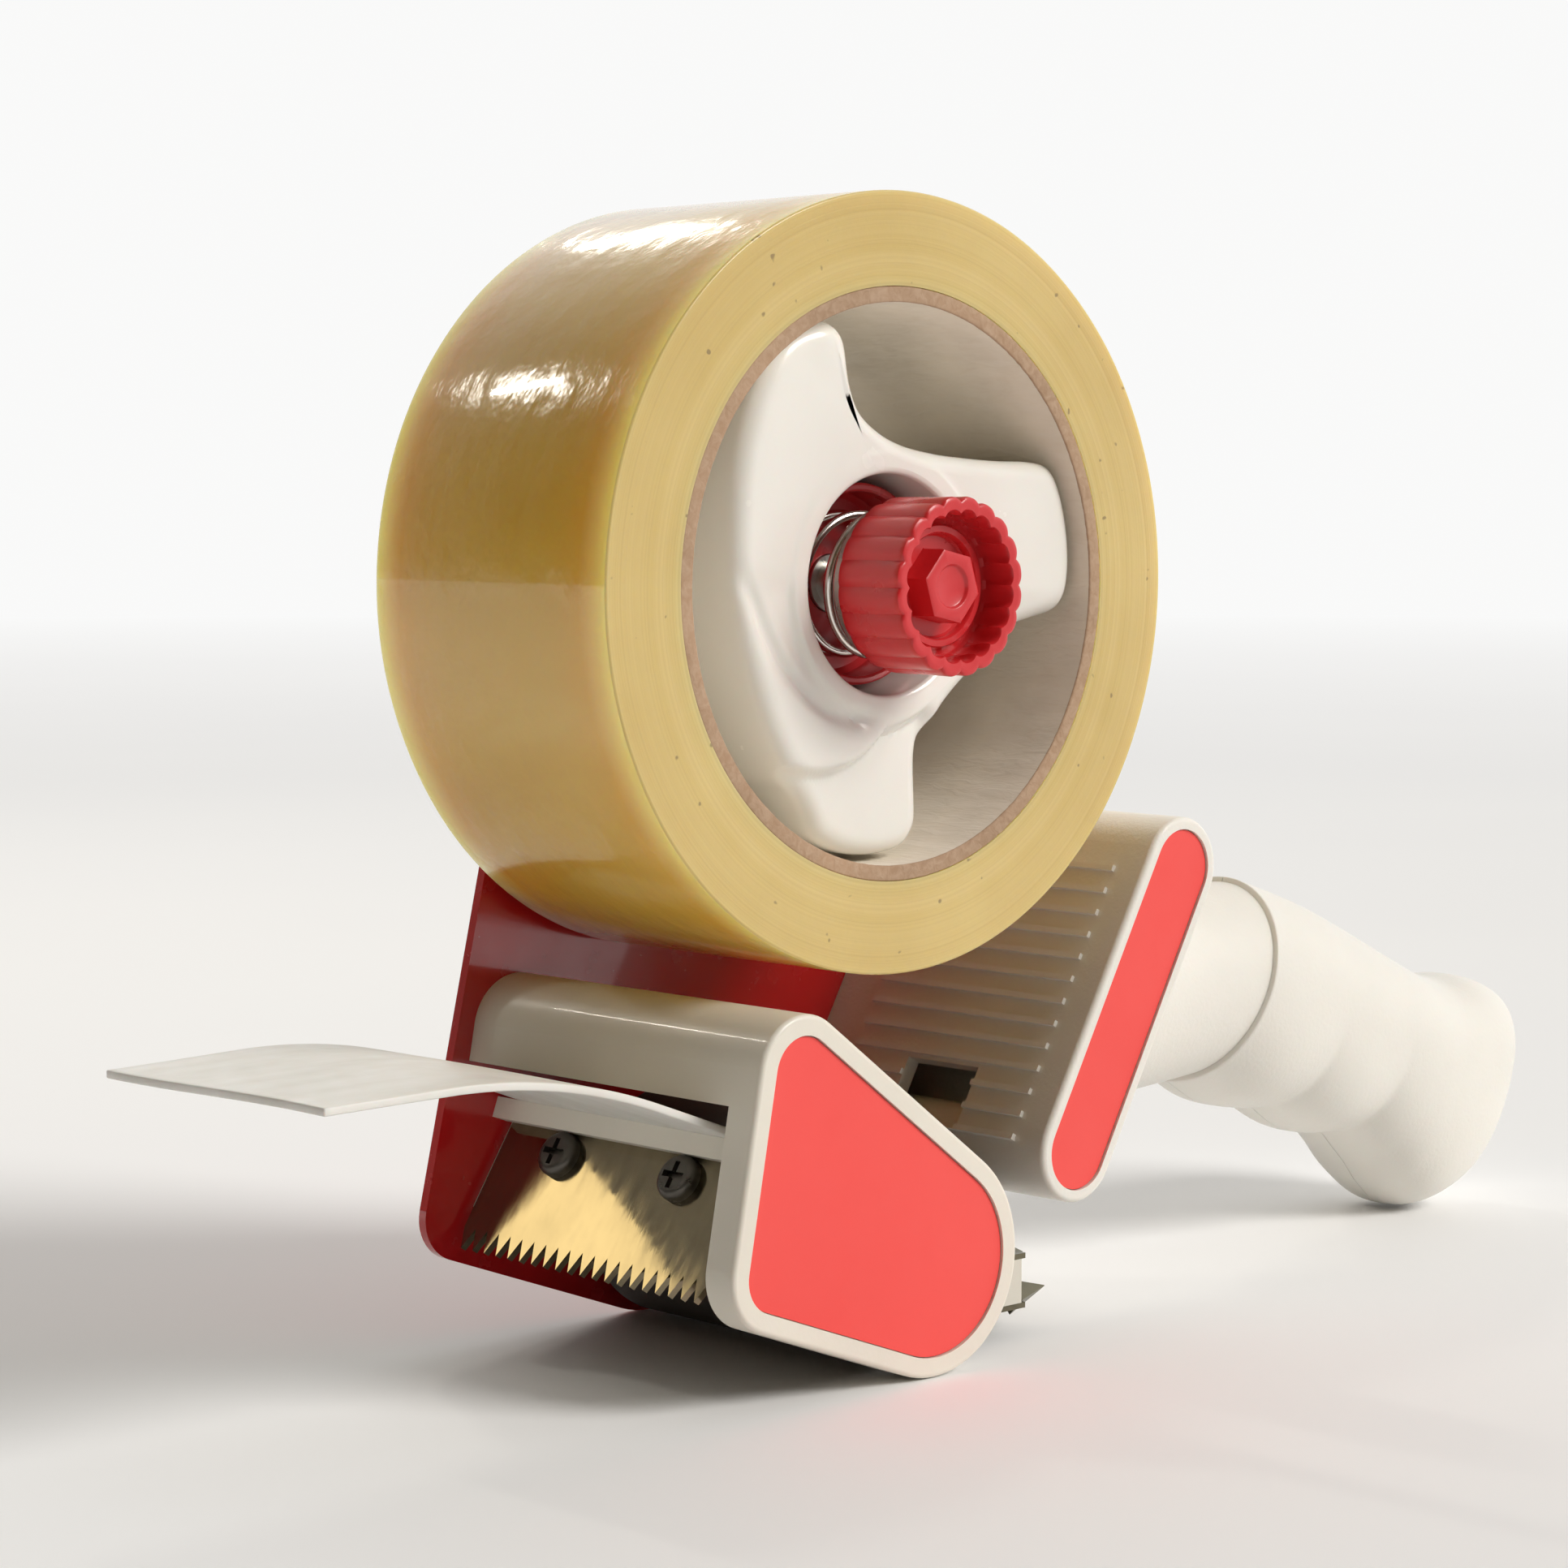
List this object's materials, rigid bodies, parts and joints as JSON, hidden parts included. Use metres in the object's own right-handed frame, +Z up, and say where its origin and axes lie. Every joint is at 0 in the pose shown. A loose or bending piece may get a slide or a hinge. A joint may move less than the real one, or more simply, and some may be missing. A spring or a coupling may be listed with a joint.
{
  "type": "tape dispenser",
  "caption": "Hand-held packing tape dispenser with a turning roll on a braked hub, an application roller, a toothed cutter, a flexible wiper flap and an angled grip.",
  "frame": {"origin": "on the ground under the middle of the bounding box, as the object stands on its front housing and grip", "axes": "+X back to the grip, +Y across to the steel side plate (the tension knob is on -Y), +Z up"},
  "size_m": [0.2692, 0.0714, 0.162],
  "materials": {
    "red_enamel": "glossy red enamel on sheet steel",
    "zinc_steel": "bright zinc plated steel",
    "ivory_plastic": "moulded ivory plastic, satin to gloss",
    "red_inlay": "flat coral red sheet",
    "blade_steel": "cold rolled blade steel",
    "black_steel": "dark oiled steel",
    "flap_plastic": "flexible light grey sheet",
    "roller_rubber": "dark grey rubber",
    "clear_tape": "wound clear film, amber in depth",
    "card": "spiral wound card, pale inside",
    "nylon": "natural nylon",
    "fibre": "red-brown pressed fibre",
    "red_plastic": "moulded crimson plastic",
    "spring_steel": "bright spring wire",
    "brass_insert": "turned brass"
  },
  "bodies": {
    "frame": {"side_plate": "red_enamel", "axle": "zinc_steel", "axle_washer": "zinc_steel", "axle_nut": "zinc_steel", "front_housing": "ivory_plastic", "housing_inlay": "red_inlay", "housing_screws": "zinc_steel", "cutter_blade": "blade_steel", "blade_screws": "black_steel", "wiper_root": "flap_plastic", "wiper_clamp": "zinc_steel", "wiper_rivets": "zinc_steel", "roller_pin": "zinc_steel", "roller_clip": "black_steel", "guide_block": "ivory_plastic", "tape_guide": "black_steel", "guide_screw": "zinc_steel", "handle_bracket": "ivory_plastic", "bracket_inlay": "red_inlay", "bracket_screws": "zinc_steel", "grip_near": "ivory_plastic", "grip_far": "ivory_plastic", "grip_screws": "zinc_steel", "friction_washer": "fibre", "brake_cup": "red_plastic", "tension_spring": "spring_steel"},
    "roll": {"tape_roll": "clear_tape", "card_core": "card", "hub": "ivory_plastic", "hub_bush": "nylon"},
    "press_roller": {"roller_tyre": "roller_rubber", "roller_core": "ivory_plastic"},
    "wiper": {"wiper_tongue": "flap_plastic"},
    "spring_seat": {"pressure_washer": "zinc_steel"},
    "knob": {"tension_knob": "red_plastic", "knob_nut": "brass_insert"}
  },
  "joints": [
    {"name": "roll_spin", "type": "hinge", "parent": "frame", "child": "roll", "pos_m": [-0.03655, -0.0005, 0.10853], "axis": [0, 1, 0], "continuous": true},
    {"name": "press_roller_spin", "type": "hinge", "parent": "frame", "child": "press_roller", "pos_m": [-0.03555, -0.0005, 0.01753], "axis": [0, 1, 0], "continuous": true},
    {"name": "wiper_flex", "type": "hinge", "parent": "frame", "child": "wiper", "pos_m": [-0.06646, -0.0005, 0.03599], "axis": [0, 1, 0], "range_deg": [-25, 12], "stiffness_Nm_per_rad": 0.6},
    {"name": "tension_slide", "type": "slide", "parent": "frame", "child": "spring_seat", "axis": [0, 1, 0], "range_m": [0, 0.003], "deforming": ["tension_spring"]},
    {"name": "tension_turn", "type": "hinge", "parent": "spring_seat", "child": "knob", "pos_m": [-0.03655, -0.0295, 0.10853], "axis": [0, 1, 0], "range_deg": [0, 1080]}
  ],
  "couplings": [
    {"joint": "tension_turn", "follows": "tension_slide", "rad_per_m": 6283}
  ]
}
